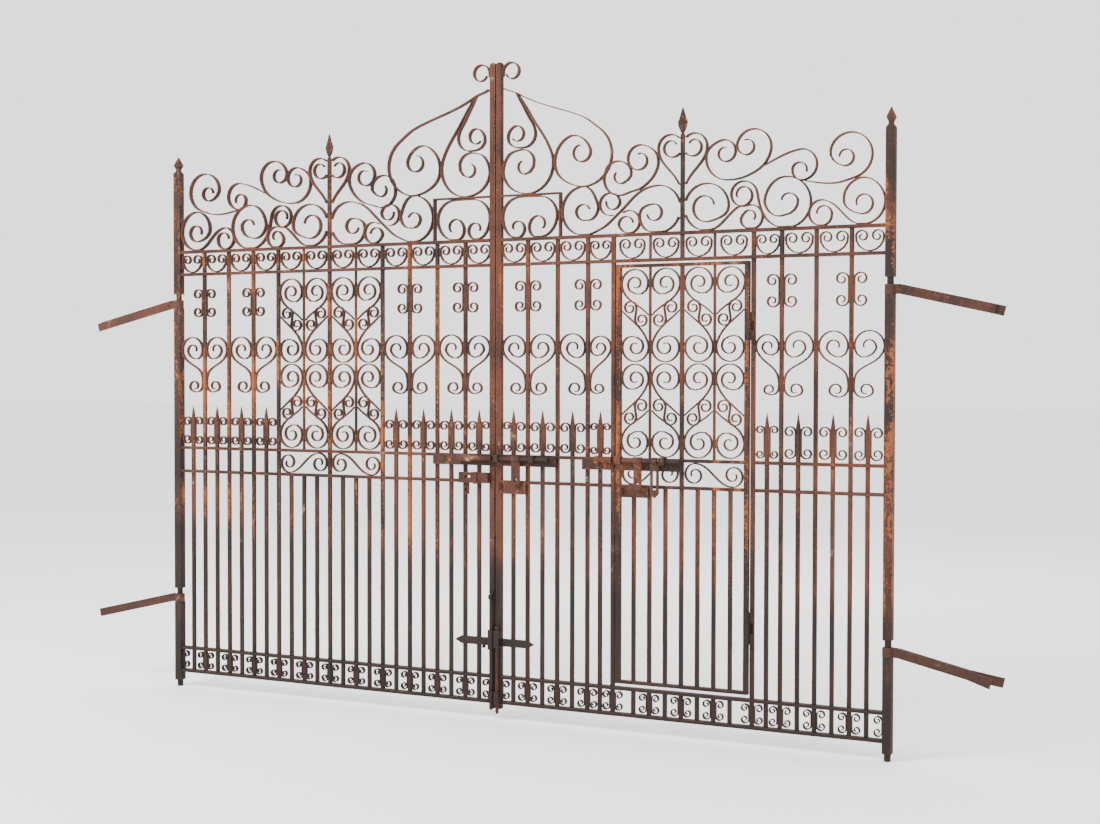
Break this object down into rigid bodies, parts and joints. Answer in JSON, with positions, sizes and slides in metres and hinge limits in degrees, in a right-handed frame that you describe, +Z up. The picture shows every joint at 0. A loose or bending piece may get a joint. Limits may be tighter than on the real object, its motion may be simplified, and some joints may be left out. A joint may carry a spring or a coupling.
{
  "type": "wrought iron driveway gate with wicket door",
  "caption": "Pair of scrolled iron driveway gates hung on wall straps, with a wicket door in one leaf, sliding bolts and drop bolts.",
  "frame": {"origin": "on the back face of the lower left wall strap's tail, 130 mm from the hinge axis", "axes": "+X to the right across the gate seen from the bolt side, +Y away from the viewer, +Z up"},
  "size_m": [4.5846, 0.1085, 2.98],
  "materials": {
    "brown_rust": "weathered iron with an even brown rust",
    "orange_rust": "weathered iron with orange rust patches",
    "dark_iron": "dark, damp-stained rusted iron"
  },
  "bodies": {
    "wall_straps": {"straps_left": "dark_iron", "straps_right": "dark_iron"},
    "left_leaf": {"left_hinge_stile": "orange_rust", "left_meeting_stile": "brown_rust", "left_rails": "brown_rust", "left_long_bars": "orange_rust", "left_spear_bars": "brown_rust", "left_frieze_rings": "brown_rust", "left_outer_scrolls": "brown_rust", "left_inner_scrolls": "brown_rust", "left_panel_scrolls": "brown_rust", "left_foot_scrolls": "dark_iron", "left_cresting": "brown_rust", "left_crest_post": "orange_rust", "left_lock_plates": "dark_iron"},
    "right_leaf": {"right_hinge_stile": "orange_rust", "right_meeting_stile": "brown_rust", "right_head_rails": "brown_rust", "right_foot_rails": "dark_iron", "right_outer_grille": "brown_rust", "right_inner_grille": "brown_rust", "right_door_bars": "brown_rust", "right_frieze_rings": "brown_rust", "right_outer_scrolls": "brown_rust", "right_inner_scrolls": "brown_rust", "right_foot_scrolls": "dark_iron", "right_cresting": "brown_rust", "right_crest_post": "orange_rust", "right_lock_plates": "dark_iron", "wicket_jamb_fittings": "dark_iron"},
    "wicket_door": {"wicket_frame": "orange_rust", "wicket_bars": "brown_rust", "wicket_panel_scrolls": "brown_rust", "wicket_fittings": "dark_iron"},
    "centre_bolt_body": {"centre_bolt": "orange_rust"},
    "centre_hasp_body": {"centre_hasp": "brown_rust"},
    "wicket_bolt_body": {"wicket_bolt": "orange_rust"},
    "wicket_hasp_body": {"wicket_hasp": "brown_rust"},
    "drop_ring_body": {"wicket_drop_ring": "dark_iron"},
    "flat_drop_bolt_body": {"flat_drop_bolt": "orange_rust"},
    "round_drop_bolt_body": {"round_drop_bolt": "dark_iron"}
  },
  "joints": [
    {"name": "left_leaf_hinge", "type": "hinge", "parent": "wall_straps", "child": "left_leaf", "pos_m": [0.13, -0.009, -0.34276], "axis": [0, 0, -1], "range_deg": [0, 95]},
    {"name": "right_leaf_hinge", "type": "hinge", "parent": "wall_straps", "child": "right_leaf", "pos_m": [3.73, -0.009, -0.34276], "axis": [0, 0, 1], "range_deg": [0, 95]},
    {"name": "wicket_hinge", "type": "hinge", "parent": "right_leaf", "child": "wicket_door", "pos_m": [3.138, -0.033, 0.05724], "axis": [0, 0, 1], "range_deg": [0, 100]},
    {"name": "centre_bolt_slide", "type": "slide", "parent": "right_leaf", "child": "centre_bolt_body", "axis": [-1, 0, 0], "range_m": [0, 0.05]},
    {"name": "centre_hasp_hinge", "type": "hinge", "parent": "centre_bolt_body", "child": "centre_hasp_body", "pos_m": [2.025, -0.048, 0.76924], "axis": [-1, 0, 0], "range_deg": [0, 90]},
    {"name": "wicket_bolt_slide", "type": "slide", "parent": "wicket_door", "child": "wicket_bolt_body", "axis": [-1, 0, 0], "range_m": [0, 0.05]},
    {"name": "wicket_hasp_hinge", "type": "hinge", "parent": "wicket_bolt_body", "child": "wicket_hasp_body", "pos_m": [2.622, -0.048, 0.77724], "axis": [-1, 0, 0], "range_deg": [0, 90]},
    {"name": "drop_ring_hinge", "type": "hinge", "parent": "wicket_bolt_body", "child": "drop_ring_body", "pos_m": [2.708, -0.048, 0.77724], "axis": [-1, 0, 0], "range_deg": [0, 90]},
    {"name": "flat_drop_bolt_lift", "type": "slide", "parent": "left_leaf", "child": "flat_drop_bolt_body", "axis": [0, 0, 1], "range_m": [0, 0.1]},
    {"name": "round_drop_bolt_lift", "type": "slide", "parent": "right_leaf", "child": "round_drop_bolt_body", "axis": [0, 0, 1], "range_m": [0, 0.1]}
  ]
}
